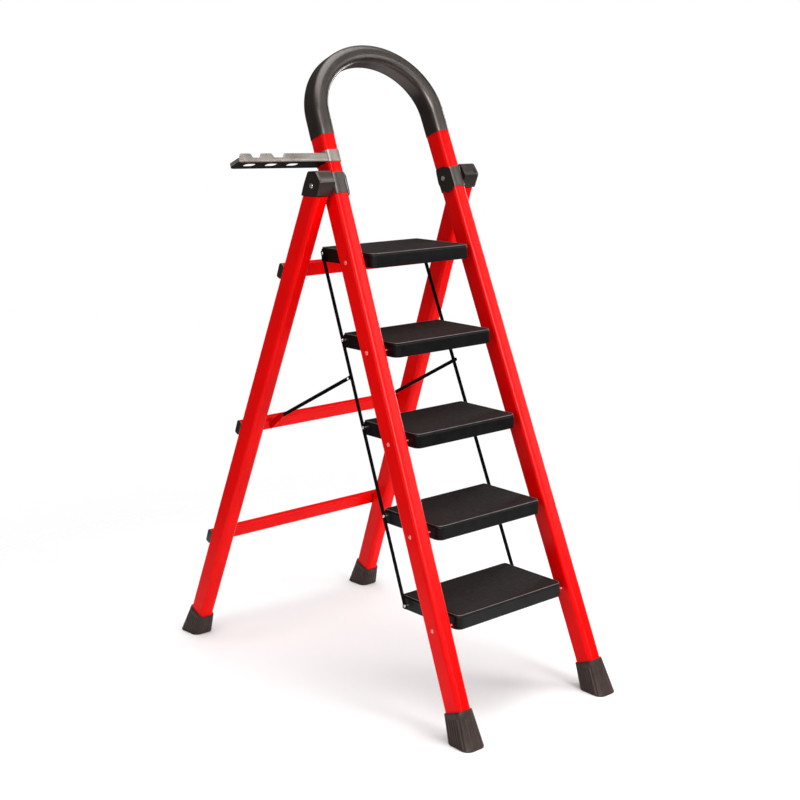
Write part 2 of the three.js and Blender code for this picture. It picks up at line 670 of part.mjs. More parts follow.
function addStrut(ladder, word, side) {
  const [topY, topZ] = legPoint(FRONT_LEG.lean, LINK_SETBACK, STRUT_TOP_BELOW);
  const [footY, footZ] = legPoint(-REAR_LEG.lean, -STRUT_FOOT.forward, STRUT_FOOT.below);
  const rise = Math.hypot(topY - footY, topZ - footZ);
  const topX = ROD_X_AT_STRUT + STRUT.offset;
  const length = Math.hypot(rise, topX - STRUT_FOOT_X);

  const group = new THREE.Group();
  group.position.set(side * STRUT_FOOT_X, footY, footZ);
  group.rotation.x = Math.atan2(footY - topY, topZ - footZ);
  ladder.add(group);

  const radius = SMALL_RIVET.shank + SHANK_GAP;
  const margin = 2;
  const slots = [
    { at: length, radius, length: STRUT.slot },
    { at: 0, radius, length: 0.01 },
  ];
  const bar = flatBar(STRUT.width, STRUT.thickness, length + margin, -margin, slots);
  const strut = addMesh(group, `strut_${word}`, bar, 'blackSteel');
  strut.rotation.y = side * Math.asin((topX - STRUT_FOOT_X) / length);
}

// ---------------------------------------------------------------- assembly

const ladder = new THREE.Group();
ladder.position.x = MIDPLANE_X;
addFrontFrame(ladder);
addRearFrame(ladder);
for (const step of STEPS) {
  addStep(ladder, step);
}
for (const [word, side] of Object.entries(SIDES)) {
  addLinkRod(ladder, word, side);
  addStrut(ladder, word, side);
}

export default ladder;
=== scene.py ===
"""Looks of the folding ladder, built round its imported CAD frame. Metres, +Z up."""

import json
import math

import bmesh
import bpy
from mathutils import Matrix, Vector


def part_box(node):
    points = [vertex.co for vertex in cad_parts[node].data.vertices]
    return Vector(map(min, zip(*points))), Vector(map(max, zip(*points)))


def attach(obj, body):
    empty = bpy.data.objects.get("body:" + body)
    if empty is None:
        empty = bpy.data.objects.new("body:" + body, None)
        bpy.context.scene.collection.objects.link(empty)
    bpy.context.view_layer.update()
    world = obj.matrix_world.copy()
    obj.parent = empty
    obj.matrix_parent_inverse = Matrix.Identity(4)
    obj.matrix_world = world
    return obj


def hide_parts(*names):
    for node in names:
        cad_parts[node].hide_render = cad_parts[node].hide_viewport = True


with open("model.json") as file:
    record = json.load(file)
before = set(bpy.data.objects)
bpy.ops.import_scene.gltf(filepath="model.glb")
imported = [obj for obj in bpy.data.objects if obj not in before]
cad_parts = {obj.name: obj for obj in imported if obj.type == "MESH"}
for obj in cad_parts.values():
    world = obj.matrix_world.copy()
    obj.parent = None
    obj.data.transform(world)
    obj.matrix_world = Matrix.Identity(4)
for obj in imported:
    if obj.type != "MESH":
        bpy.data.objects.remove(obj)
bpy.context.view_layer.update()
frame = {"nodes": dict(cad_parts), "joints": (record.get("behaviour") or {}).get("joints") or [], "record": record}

# ---------------------------------------------------------------- places from the frame

SIDES = {"left": -1, "right": 1}
BODY_OF_END = {"front": "front_frame", "rear": "rear_frame"}
STEP_NUMBERS = range(1, 6)
CROSSBARS = ("top", "middle", "bottom")
JOINTS = {joint["name"]: Vector(joint["pos_m"]) for joint in frame["joints"]}
SOLES = {mount["name"]: Vector(mount["pos_m"]) for mount in frame["record"]["mounts"]}
HINGE = JOINTS["rear_fold"]
MIDDLE_X = HINGE.x

# ---------------------------------------------------------------- sizes

GAP = 0.0003  # between touching pieces
OVERLAP = 0.0002  # between the parts of one moulding
CORNER_STEPS = 8
LEAST_CORNER = 0.0006
FILLET_STEPS = 5
FILLET_SHARE = 0.45  # the most of an edge that a fillet takes
WELD_DISTANCE = 1e-6

TUBE_WIDTH = 0.045
TUBE_DEPTH = 0.062
TUBE_CORNER = 0.014
TUBE_WALL = 0.001
HALF_WIDTH_AT_HINGE = {"front": 0.2095, "rear": 0.2607}
TUBE_END_ABOVE_FOOT = 0.024
FRONT_TUBE_TOP = 0.150
CAP_LEVEL = 1.3425  # height of the caps' lower edge
REAR_TUBE_TOP = CAP_LEVEL - 0.001

SHOE_RIM = 0.0045
SHOE_WIDTH = 0.070
SHOE_DEPTH = 0.080
SHOE_HEIGHTS = {"front": 0.086, "rear": 0.074}
SHOE_SOLE_EASE = 0.0016
SHOE_CORNER_STEPS = 16
SHOE_POINT_SPACING = 0.0012
# Rings of points up the outside, as shares of the way down from the rim to the ground
SHOE_RINGS = (0.985, 0.96, 0.945, 0.93, 0.9, 0.7, 0.5, 0.3, 0.2, 0.17, 0.155, 0.14, 0.03)
# Over the rim and down the socket: (inset from the outside, drop below the rim)
SHOE_SOCKET = [
    (0.0003, 0.0006), (0.0011, 0), (SHOE_RIM - 0.0008, 0),
    (SHOE_RIM - GAP, 0.0006), (SHOE_RIM - GAP, 0.050),
]
SHOE_RIB_PITCH = 0.0085
SHOE_RIB_DEPTH = 0.0018
SHOE_RIB_START = 0.14  # this and the next two are shares of the way down
SHOE_RIB_END = 0.945
SHOE_RIB_RUN_OUT = 0.03
SHOE_RIB_POWER = 0.7  # below 1, the grooves are broader than the crests

SLEEVE_START = 0.130
SLEEVE_BEND_START = 0.183
SLEEVE_RISE = 0.175
SLEEVE_GAP = 0.001
SLEEVE_WALL = 0.0015
SLEEVE_STEPS = 72
SLEEVE_CORNER = 0.0195
SLEEVE_END_EASE = 0.0007
SLEEVE_STRAIGHT_RINGS = (0, 0.03, 0.5)  # shares of each straight end

CAP_INNER = 0.234
CAP_OUTER = 0.2845
CAP_CHEEK = 0.008
CAP_BODY_FILLET = 0.004
CAP_CHEEK_FILLET = 0.005
CAP_EASE = 0.0018
# A cap's side outline above its lower edge: (rearward, up the rear leg)
CAP_REAR = [(0.031, -0.008), (0.027, 0.029), (-0.001, 0.042)]
CAP_SCOOP = [(-0.010, 0.0345), (-0.018, 0.0285), (-0.0255, 0.0245)]
CAP_FRONT = (-0.031, 0.024)

COLLAR_BELOW = 0.033
COLLAR_ABOVE = 0.024
COLLAR_WALL = 0.0022
COLLAR_OPEN_POINTS = 2  # points of each outer corner that the open side takes
COLLAR_EASE = 0.0007
COLLAR_PLATE = 0.003
COLLAR_PLATE_FRONT = {"left": 0.024, "right": 0.037}  # how far forward each plate reaches
COLLAR_PLATE_FILLET = 0.008
COLLAR_PLATE_OUTLINE = [
    (0.019, 0.034), (-0.011, 0.032), (-0.036, 0.021), (-0.037, -0.033),
    (-0.012, -0.041), (0.002, -0.042), (0.016, -0.030), (0.024, -0.008),
]

PAN_HEIGHT = 0.035
PAN_WALL = 0.001
PAN_FRONT_CORNER = 0.018
PAN_REAR_CORNER = 0.008
PAN_EDGE = 0.0032
PAN_EDGE_STEPS = 6
PAN_LIP = 0.007
PAN_LIP_EDGE = [(0.0016, 0), (0.0005, 0.0005), (0, 0.0016)]  # (inset, height)

MAT_INSET = 0.003
MAT_THICKNESS = 0.003
# From the mat's foot over its rim and across a groove: (inset, height)
MAT_PROFILE = [
    (0.0002, 0), (0, 0.0004), (0, MAT_THICKNESS - 0.0012),
    (0.0004, MAT_THICKNESS - 0.0004), (0.0012, MAT_THICKNESS), (0.0052, MAT_THICKNESS),
    (0.0058, MAT_THICKNESS - 0.0008), (0.0072, MAT_THICKNESS - 0.0008),
    (0.0078, MAT_THICKNESS),
]
MAT_BEAD = 0.0009  # radius of the moulded line round a mat
MAT_BEAD_SINK = 0.6  # share of that radius by which its centre lies below the top
MAT_BEAD_POINTS = 8

CROSSBAR_HEIGHT = 0.042
CROSSBAR_THICKNESS = 0.020
CROSSBAR_CORNER = 0.006
# (outward from the crossbar's surface, outward along it from its end)
PLUG_PROFILE = [
    (-0.0013, -0.012), (-0.0013, 0.0001), (0.0002, 0.0001), (0.0002, 0.0008),
    (-0.0004, 0.0018), (-0.0020, 0.0026), (-0.0045, 0.003),
]

FASTENERS = {
    "pivot": {"shank": 0.0025, "head": 0.0055, "rise": 0.0022, "tail": 0.005},
    "small": {"shank": 0.0025, "head": 0.0042, "rise": 0.002, "tail": 0.004},
    "hinge": {"shank": 0.004, "head": 0.0065, "rise": 0.0024, "tail": 0.0065},
}
FASTENER_POINTS = 24
DOME_STEPS = 5
DOME_TIP = 0.0004  # radius of the flat on top of a head
HEAD_SEAT = 0.98  # radius of a head's underside, as a share of the head's
HEAD_RIM = 0.0001
TAIL_RIM = 0.0008
TAIL_THICKNESS = 0.0012
TAIL_CHAMFER = 0.85  # radius of a tail's end, as a share of the tail's
STRUT_PIN_EXTRA = 0.0055

CLAMP_BOTTOM = 0.054
CLAMP_TOP = 0.086
CLAMP_WALL = 0.0018
CLAMP_EASE = 0.0005
HOOK_LENGTH = 0.279
HOOK_DEPTH = 0.050
HOOK_SHEET = 0.002
HOOK_EDGE = 0.0004
HOOK_WALL = 0.022
HOOK_LOW_WALL = 0.011
HOOK_TIP_WALL = 0.0077
HOOK_PLATEAU = 0.138
HOOK_BUMPS = [(0.176, 0.210), (0.241, 0.272)]
HOOK_SLOPE = 0.005
HOOK_WALL_FILLET = 0.004
HOOK_WALL_FILLET_STEPS = 6
HOOK_SLOTS = [0.100, 0.167, 0.233]
HOOK_SLOT_LENGTH = 0.034
HOOK_SLOT_WIDTH = 0.020
HOOK_SLOT_STEPS = 12  # round each end
HOOK_NOSE = 0.014
HOOK_NOSE_STEPS = 12
HOOK_BEND = 0.003  # outer radius of the fold between its floor and its front wall
HOOK_BEND_STEPS = 8
HOOK_BEND_END = HOOK_LENGTH - 0.001
HOOK_ROOT_HEIGHT = 0.03
HOOK_ROOT_FILLET = 0.006

# CAD nodes that are kept on both sides: finish, and how much their edges are eased
KEPT_NODES = {
    "link_rod": ("black_steel", 0.0006),
    "strut": ("black_steel", 0.0005),
    "strut_bracket": ("red_paint", 0.0004),
}

# ---------------------------------------------------------------- looks

TONE_RANGE = (0.35, 0.65)  # where a noise turns from the first colour to the second
NOISE_RANGE = (0.3, 0.7)  # where it turns from the first roughness to the second

CAMERA_OFFSET = Vector((-2.5381, -2.8905, 0.8540))
CAMERA_TARGET = Vector((-0.0013, -0.016, 0.7652))
CAMERA_LENS = 63.38
CAMERA_SENSOR = 36
LIGHT_AIM = 0.8  # height that the lights are turned to
AMBIENT_LIGHT = 0.33
REFLECTED_SURROUNDINGS = 0.08
FLOOR_DROP = 0.0005
FLOOR_POINTS = 96
FLOOR_SOLID_RADIUS = 0.7
FLOOR_RADIUS = 2.2


# ---------------------------------------------------------------- legs

class Leg:
    """One tube's own frame: x across it, y rearward, z up along it from the hinge."""

    def __init__(self, end, word):
        sole = SOLES[f"{end}_foot_{word}_sole"]
        reach = sole.y - HINGE.y
        self.side = SIDES[word]
        self.length = math.hypot(reach, HINGE.z)
        self.at_hinge = HALF_WIDTH_AT_HINGE[end]
        self.at_foot = abs(sole.x - MIDDLE_X)
        self.taper = math.atan2(self.at_foot - self.at_hinge, self.length)
        self.frame = (
            Matrix.Translation(HINGE)
            @ Matrix.Rotation(math.atan2(reach, HINGE.z), 4, "X")
        )
        self.matrix = (
            self.frame
            @ Matrix.Translation((self.side * self.at_hinge, 0, 0))
            @ Matrix.Rotation(-self.side * self.taper, 4, "Y")
        )

    def half_width(self, below):
        """Distance of the tube's axis from the middle, at a depth below the hinge."""
        return self.at_hinge + (self.at_foot - self.at_hinge) * below / self.length

    def point(self, x, y, z):
        return self.matrix @ Vector((x, y, z))

    def loop(self, outline, z):
        return [self.point(x, y, z) for x, y in outline]

    def level_point(self, x, y, height):
        """The point on the line along the tube through (x, y) that lies at a height."""
        start = self.point(x, y, 0)
        along = self.point(x, y, -1) - start
        return start + along * ((height - start.z) / along.z)

    def level_loop(self, outline, height):
        return [self.level_point(x, y, height) for x, y in outline]


LEGS = {(end, word): Leg(end, word) for end in BODY_OF_END for word in SIDES}


# ---------------------------------------------------------------- outlines

def arc(cx, cy, radius, start, turn, steps):
    """Points round part of a circle. Its start and its turn are in right angles."""
    points = []
    for step in range(steps + 1):
        angle = (start + turn * step / steps) * math.pi / 2
        points.append((cx + radius * math.cos(angle), cy + radius * math.sin(angle)))
    return points


def rounded_rectangle(width, depth, corner, steps=CORNER_STEPS):
    points = []
    for quarter, (sx, sy) in enumerate(((1, -1), (1, 1), (-1, 1), (-1, -1))):
        cx = sx * (width / 2 - corner)
        cy = sy * (depth / 2 - corner)
        points += arc(cx, cy, corner, quarter - 1, 1, steps)
    return points


def tube_outline(margin=0.0):
    return rounded_rectangle(
        TUBE_WIDTH + 2 * margin, TUBE_DEPTH + 2 * margin, TUBE_CORNER + margin
    )


def filleted(points, radius, steps=FILLET_STEPS):
    """A polygon with its corners rounded."""
    out = []
    count = len(points)
    for i in range(count):
        before = Vector(points[i - 1])
        here = Vector(points[i])
        after = Vector(points[(i + 1) % count])
        shortest = min((before - here).length, (after - here).length)
        reach = min(radius, shortest * FILLET_SHARE)
        start = here + (before - here).normalized() * reach
        end = here + (after - here).normalized() * reach
        for step in range(steps + 1):
            t = step / steps
            point = start * (1 - t) ** 2 + here * 2 * t * (1 - t) + end * t ** 2
            out.append((point.x, point.y))
    return out


# ---------------------------------------------------------------- meshes

def new_piece(name, mesh, body, slot, nodes=(), sharp_angle=35, finish=None):
    """Puts a finished mesh in the scene with its finish, its body and what it replaces.
    The finish is the slot's own material, unless another is named."""
    mesh.shade_smooth()
    mesh.set_sharp_from_angle(angle=math.radians(sharp_angle))
    piece = bpy.data.objects.new(name, mesh)
    bpy.context.scene.collection.objects.link(piece)
    mesh.materials.append(MATERIALS[finish or slot])
    if nodes:
        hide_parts(*nodes)
    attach(piece, body)
    return piece


def mesh_from(name, points, faces):
    """A mesh with all its faces turned outward."""
    mesh = bpy.data.meshes.new(name)
    mesh.from_pydata([tuple(point) for point in points], [], faces)
    mesh.update()
    work = bmesh.new()
    work.from_mesh(mesh)
    bmesh.ops.recalc_face_normals(work, faces=work.faces)
    work.to_mesh(mesh)
    work.free()
    return mesh


def skin(name, loops, ring=False):
    """A skin over equal loops: a ring joins the last loop to the first, and otherwise
    both ends are closed."""
    count = len(loops[0])
    points = [point for loop in loops for point in loop]
    faces = []
    last = len(loops) if ring else len(loops) - 1
    for row in range(last):
        a = row * count
        b = ((row + 1) % len(loops)) * count
        for i in range(count):
            j = (i + 1) % count
            faces.append((a + i, a + j, b + j, b + i))
    if not ring:
        faces.append(tuple(range(count)))
        faces.append(tuple(range(len(points) - count, len(points))))
    return mesh_from(name, points, faces)


def prism(name, outline, place, start, end):
    """An outline swept from start to end; place turns (u, v, along) into a point."""
    loops = [[place(u, v, along) for u, v in outline] for along in (start, end)]
    return skin(name, loops)


def plate(name, outline, holes, thickness, edge, place):
    """A flat plate with holes and eased edges, as a filled curve turned into a mesh."""
    curve = bpy.data.curves.new(name, "CURVE")
    curve.dimensions = "2D"
    curve.fill_mode = "BOTH"
    curve.extrude = thickness / 2 - edge
    curve.bevel_depth = edge
    curve.bevel_resolution = 2
    curve.offset = -edge
    for points in [outline, *holes]:
        spline = curve.splines.new("POLY")
        spline.points.add(len(points) - 1)
        for target, (u, v) in zip(spline.points, points):
            target.co = (u, v, 0, 1)
        spline.use_cyclic_u = True
    holder = bpy.data.objects.new(name, curve)
    bpy.context.scene.collection.objects.link(holder)
    depsgraph = bpy.context.evaluated_depsgraph_get()
    mesh = bpy.data.meshes.new_from_object(holder.evaluated_get(depsgraph))
    bpy.data.objects.remove(holder)
    bpy.data.curves.remove(curve)
    work = bmesh.new()
    work.from_mesh(mesh)
    bmesh.ops.remove_doubles(work, verts=work.verts, dist=WELD_DISTANCE)
    for vertex in work.verts:
        vertex.co = place(*vertex.co)
    bmesh.ops.recalc_face_normals(work, faces=work.faces)
    work.to_mesh(mesh)
    work.free()
    return mesh


def joined(name, meshes):
    """Several meshes as one."""
    work = bmesh.new()
    for mesh in meshes:
        work.from_mesh(mesh)
    result = bpy.data.meshes.new(name)
    work.to_mesh(result)
    work.free()
    for mesh in meshes:
        bpy.data.meshes.remove(mesh)
    return result


def bevel(piece, width, segments=3, angle=30):
    modifier = piece.modifiers.new("eased_edges", "BEVEL")
    modifier.width = width
    modifier.segments = segments
    modifier.limit_method = "ANGLE"
    modifier.angle_limit = math.radians(angle)
    modifier.harden_normals = True


def flat_faces(piece):
    """Keeps broad flat faces flat next to rounded corners."""
    modifier = piece.modifiers.new("flat_faces", "WEIGHTED_NORMAL")
    modifier.keep_sharp = True
    modifier.weight = 100


# ---------------------------------------------------------------- materials

def new_material(name):
    material = bpy.data.materials.new(name)
    material.use_nodes = True
    tree = material.node_tree
    return material, tree, tree.nodes["Principled BSDF"]


def coordinates(tree):
    return tree.nodes.new("ShaderNodeTexCoord").outputs["Object"]


def noise(tree, scale, detail=2.0):
    node = tree.nodes.new("ShaderNodeTexNoise")
    node.inputs["Scale"].default_value = scale
    node.inputs["Detail"].default_value = detail
    tree.links.new(coordinates(tree), node.inputs["Vector"])
    return node.outputs["Fac"]


def cells(tree, scale):
    node = tree.nodes.new("ShaderNodeTexVoronoi")
    node.inputs["Scale"].default_value = scale
    tree.links.new(coordinates(tree), node.inputs["Vector"])
    return node.outputs["Distance"]


def vary_colour(tree, shader, factor, tones):
    """Base colour that wanders between two tones."""
    ramp = tree.nodes.new("ShaderNodeValToRGB")
    for stop, position, tone in zip(ramp.color_ramp.elements, TONE_RANGE, tones):
        stop.position = position
        stop.color = (*tone, 1)
    tree.links.new(factor, ramp.inputs["Fac"])
    tree.links.new(ramp.outputs["Color"], shader.inputs["Base Color"])


def vary_roughness(tree, shader, factor, low, high):
    spread = tree.nodes.new("ShaderNodeMapRange")
    spread.inputs["From Min"].default_value = NOISE_RANGE[0]
    spread.inputs["From Max"].default_value = NOISE_RANGE[1]
    spread.inputs["To Min"].default_value = low
    spread.inputs["To Max"].default_value = high
    tree.links.new(factor, spread.inputs["Value"])
    tree.links.new(spread.outputs["Result"], shader.inputs["Roughness"])


def add_bump(tree, shader, height, strength, distance):
    node = tree.nodes.new("ShaderNodeBump")
    node.inputs["Strength"].default_value = strength
    node.inputs["Distance"].default_value = distance
    tree.links.new(height, node.inputs["Height"])
    tree.links.new(node.outputs["Normal"], shader.inputs["Normal"])


def red_paint():
    material, tree, shader = new_material("red_paint")
    tones = [(0.63, 0.0006, 0.0006), (0.69, 0.0010, 0.0010)]
    vary_colour(tree, shader, noise(tree, scale=9, detail=3), tones)
    vary_roughness(tree, shader, noise(tree, scale=35, detail=4), low=0.3, high=0.38)
    add_bump(tree, shader, noise(tree, scale=600), strength=0.05, distance=0.0002)
    shader.inputs["Specular IOR Level"].default_value = 0.02
    shader.inputs["Coat Weight"].default_value = 0.17
    shader.inputs["Coat Roughness"].default_value = 0.24
    return material


def rivet_painted_highlight():
    """Red lightened towards pink all over the rivets' heads: a painted highlight."""
    material, tree, shader = new_material("rivet_painted_highlight")
    tones = [(0.72, 0.09, 0.075), (0.92, 0.34, 0.3)]
    vary_colour(tree, shader, noise(tree, scale=260, detail=3), tones)
    vary_roughness(tree, shader, noise(tree, scale=400, detail=3), low=0.22, high=0.34)
    add_bump(tree, shader, noise(tree, scale=1800), strength=0.15, distance=0.0001)
    shader.inputs["Metallic"].default_value = 0.25
    return material


def dark_plastic():
    """Moulded brown-black plastic with a fine grain."""
    material, tree, shader = new_material("dark_plastic")
    tones = [(0.0095, 0.0062, 0.0048), (0.0145, 0.0098, 0.0077)]
    vary_colour(tree, shader, noise(tree, scale=24, detail=4), tones)
    vary_roughness(tree, shader, noise(tree, scale=60, detail=3), low=0.32, high=0.4)
    grain = noise(tree, scale=1500, detail=3)
    add_bump(tree, shader, grain, strength=0.2, distance=0.0002)
    shader.inputs["Specular IOR Level"].default_value = 0.9
    shader.inputs["Specular Tint"].default_value = (1.0, 0.9, 0.84, 1)
    return material


def foot_rubber():
    material, tree, shader = new_material("foot_rubber")
    tones = [(0.018, 0.0086, 0.0064), (0.028, 0.0148, 0.0112)]
    vary_colour(tree, shader, noise(tree, scale=40, detail=5), tones)
    vary_roughness(tree, shader, noise(tree, scale=90, detail=3), low=0.42, high=0.55)
    grain = noise(tree, scale=1100, detail=4)
    add_bump(tree, shader, grain, strength=0.35, distance=0.0003)
    shader.inputs["Specular IOR Level"].default_value = 0.3
    return material


def tread_pan():
    material, tree, shader = new_material("tread_pan")
    tones = [(0.003, 0.003, 0.0032), (0.0052, 0.005, 0.005)]
    vary_colour(tree, shader, noise(tree, scale=30, detail=3), tones)
    vary_roughness(tree, shader, noise(tree, scale=45, detail=3), low=0.3, high=0.4)
    add_bump(tree, shader, noise(tree, scale=1300), strength=0.25, distance=0.0002)
    shader.inputs["Specular IOR Level"].default_value = 0.16
    return material


def tread_mat():
    """Matt rubber with a pebbled top."""
    material, tree, shader = new_material("tread_mat")
    tones = [(0.0145, 0.0102, 0.0096), (0.0195, 0.0142, 0.0131)]
    vary_colour(tree, shader, noise(tree, scale=55, detail=5), tones)
    vary_roughness(tree, shader, noise(tree, scale=120, detail=3), low=0.62, high=0.74)
    add_bump(tree, shader, cells(tree, scale=700), strength=0.4, distance=0.0004)
    shader.inputs["Specular IOR Level"].default_value = 0.12
    return material


def mat_bead_highlight():
    # A light grey-brown for the bead round each mat: a painted highlight along the mats' edges.
    material, tree, shader = new_material("mat_bead_highlight")
    tones = [(0.1, 0.082, 0.078), (0.15, 0.125, 0.118)]
    vary_colour(tree, shader, noise(tree, scale=60, detail=3), tones)
    vary_roughness(tree, shader, noise(tree, scale=90, detail=3), low=0.35, high=0.48)
    return material


def black_steel():
    material, tree, shader = new_material("black_steel")
    tones = [(0.0022, 0.0022, 0.0022), (0.005, 0.0046, 0.0044)]
    vary_colour(tree, shader, noise(tree, scale=60, detail=3), tones)
    vary_roughness(tree, shader, noise(tree, scale=80, detail=3), low=0.32, high=0.45)
    add_bump(tree, shader, noise(tree, scale=900), strength=0.2, distance=0.0002)
    shader.inputs["Specular IOR Level"].default_value = 0.02
    return material


def hook_steel():
    """Warm grey coated steel."""
    material, tree, shader = new_material("hook_steel")
    tones = [(0.22, 0.195, 0.172), (0.32, 0.288, 0.258)]
    vary_colour(tree, shader, noise(tree, scale=28, detail=4), tones)
    vary_roughness(tree, shader, noise(tree, scale=70, detail=3), low=0.28, high=0.38)
    grain = noise(tree, scale=800, detail=3)
    add_bump(tree, shader, grain, strength=0.2, distance=0.0002)
    shader.inputs["Metallic"].default_value = 0.6
    return material


def zinc_fastener():
    material, tree, shader = new_material("zinc_fastener")
    tones = [(0.62, 0.62, 0.6), (0.8, 0.8, 0.78)]
    vary_colour(tree, shader, noise(tree, scale=300, detail=4), tones)
    vary_roughness(tree, shader, noise(tree, scale=500, detail=3), low=0.24, high=0.36)
    add_bump(tree, shader, noise(tree, scale=2200), strength=0.15, distance=0.0001)
    shader.inputs["Metallic"].default_value = 0.85
    return material


MATERIALS = {
    "red_paint": red_paint(),
    "rivet_painted_highlight": rivet_painted_highlight(),
    "dark_plastic": dark_plastic(),
    "foot_rubber": foot_rubber(),
    "tread_pan": tread_pan(),
    "tread_mat": tread_mat(),
    "mat_bead_highlight": mat_bead_highlight(),
    "black_steel": black_steel(),
    "hook_steel": hook_steel(),
    "zinc_fastener": zinc_fastener(),
}


# ---------------------------------------------------------------- legs and their shoes

def make_upright(end, word):
    leg = LEGS[end, word]
    outer = tube_outline()
    inner = tube_outline(-TUBE_WALL)
    bottom = -leg.length + TUBE_END_ABOVE_FOOT
    if end == "front":
        tops = [leg.loop(outline, FRONT_TUBE_TOP) for outline in (outer, inner)]
    else:
        tops = [leg.level_loop(outline, REAR_TUBE_TOP) for outline in (outer, inner)]
    node = f"{end}_upright_{word}"
    loops = [leg.loop(outer, bottom), *tops, leg.loop(inner, bottom)]
    mesh = skin(f"{node}_tube", loops, ring=True)
    flat_faces(new_piece(f"{node}_tube", mesh, BODY_OF_END[end], "red_paint", [node]))


def shoe_outline(width, depth, corner):
    """A rounded rectangle with many points for ribs: each is its place, its outward
    direction and how many ribs lie before it."""
    bare = rounded_rectangle(width, depth, corner, SHOE_CORNER_STEPS)
    points = []
    for i, start in enumerate(bare):
        start = Vector(start)
        end = Vector(bare[(i + 1) % len(bare)])
        parts = max(1, round((end - start).length / SHOE_POINT_SPACING))
        points.extend(start.lerp(end, part / parts) for part in range(parts))
    out = []
    travelled = 0.0
    for i, point in enumerate(points):
        along = points[(i + 1) % len(points)] - points[i - 1]
        outward = Vector((along.y, -along.x)).normalized()
        out.append((point, outward, travelled))
        travelled += (points[(i + 1) % len(points)] - point).length
    ribs = round(travelled / SHOE_RIB_PITCH)
    return [(point, outward, gone / travelled * ribs) for point, outward, gone in out]


def make_shoe(end, word):
    leg = LEGS[end, word]
    height = SHOE_HEIGHTS[end]
    rim_width = TUBE_WIDTH + 2 * SHOE_RIM
    rim_depth = TUBE_DEPTH + 2 * SHOE_RIM
    outline = shoe_outline(rim_width, rim_depth, TUBE_CORNER + SHOE_RIM)
    top = -leg.length + height

    def flared(point, share):
        return (
            point.x * (1 + share * (SHOE_WIDTH / rim_width - 1)),
            point.y * (1 + share * (SHOE_DEPTH / rim_depth - 1)),
        )

    def outside(point, outward, turns, down):
        """A point of the outer skin: down runs from 0 at the rim to 1 on the ground."""
        upper = leg.point(*flared(point, 0), top)
        along = leg.point(*flared(point, 1), top - height) - upper
        ground = upper + along * (-upper.z / along.z)
        into = min(down - SHOE_RIB_START, SHOE_RIB_END - down) / SHOE_RIB_RUN_OUT
        window = min(1, max(0, into))
        wave = (0.5 - 0.5 * math.cos(2 * math.pi * turns)) ** SHOE_RIB_POWER
        inward = leg.matrix.to_3x3() @ Vector((-outward.x, -outward.y, 0))
        return upper.lerp(ground, down) + inward * (SHOE_RIB_DEPTH * window * wave)

    def inside(inset, drop):
        """A ring of the rim or of the socket."""
        return [
            leg.point(point.x - outward.x * inset, point.y - outward.y * inset, top - drop)
            for point, outward, _ in outline
        ]

    sole = []
    for point, outward, _ in outline:
        x, y = flared(point, 1)
        edge = leg.level_point(x - outward.x * SHOE_SOLE_EASE, y - outward.y * SHOE_SOLE_EASE, 0)
        sole.append(Vector((edge.x, edge.y, 0)))
    loops = [sole]
    loops += [[outside(*entry, down) for entry in outline] for down in SHOE_RINGS]
    loops += [inside(inset, drop) for inset, drop in SHOE_SOCKET]
    node = f"{end}_foot_{word}"
    mesh = skin(f"{node}_shoe", loops)
    body = BODY_OF_END[end]
    new_piece(f"{node}_shoe", mesh, body, "foot_rubber", [node], sharp_angle=40)


# ---------------------------------------------------------------- handrail sleeve

def handrail_frames():
    """Centre and outward direction of the handrail in the front frame, end to end."""
    leg = LEGS["front", "left"]
    half_span = leg.half_width(-SLEEVE_BEND_START)
    straight = SLEEVE_BEND_START - SLEEVE_START
    stations = []
    for side in (-1, 1):
        part = []
        for share in SLEEVE_STRAIGHT_RINGS:
            up = SLEEVE_START + straight * share
            x = side * leg.half_width(-up)
            part.append((Vector((x, 0, up)), Vector((side, 0, 0))))
        stations.append(part)
    bend = []
    for step in range(SLEEVE_STEPS + 1):
        angle = math.pi * (1 - step / SLEEVE_STEPS)
        x = half_span * math.cos(angle)
        z = SLEEVE_BEND_START + SLEEVE_RISE * math.sin(angle)
        normal = Vector((math.cos(angle) / half_span, 0, math.sin(angle) / SLEEVE_RISE))
        bend.append((Vector((x, 0, z)), normal.normalized()))
    return stations[0] + bend + stations[1][::-1]


def sleeve_outline(margin):
    width = TUBE_WIDTH + 2 * margin
    depth = TUBE_DEPTH + 2 * margin
    return rounded_rectangle(width, depth, SLEEVE_CORNER)


def make_sleeve():
    to_world = LEGS["front", "left"].frame
    outer = sleeve_outline(SLEEVE_GAP + SLEEVE_WALL)
    inner = tube_outline(SLEEVE_GAP)
    eased = sleeve_outline(SLEEVE_GAP + SLEEVE_WALL - SLEEVE_END_EASE)
    stations = handrail_frames()

    def loop(station, outline):
        centre, outward = station
        return [to_world @ (centre + outward * x + Vector((0, y, 0))) for x, y in outline]

    loops = [loop(stations[0], eased)]
    loops += [loop(station, outer) for station in stations[1:-1]]
    loops.append(loop(stations[-1], eased))
    loops += [loop(station, inner) for station in reversed(stations)]
    mesh = skin("handrail_grip", loops, ring=True)
    piece = new_piece("handrail_grip", mesh, "front_frame", "dark_plastic", ["handrail_sleeve"])
    flat_faces(piece)


# ---------------------------------------------------------------- hinge caps and collars

def cap_outline(leg, scooped):
    """A cap's side outline: (rearward, up the rear leg), level along its lower edge."""
    depth = TUBE_DEPTH / 2
    points = []
    for y in (-depth, depth):
        low = leg.matrix.inverted() @ leg.level_point(0, y, CAP_LEVEL)
        points.append((y, low.z))
    points += CAP_REAR
    if scooped:
        points += CAP_SCOOP
    points.append(CAP_FRONT)
    return points


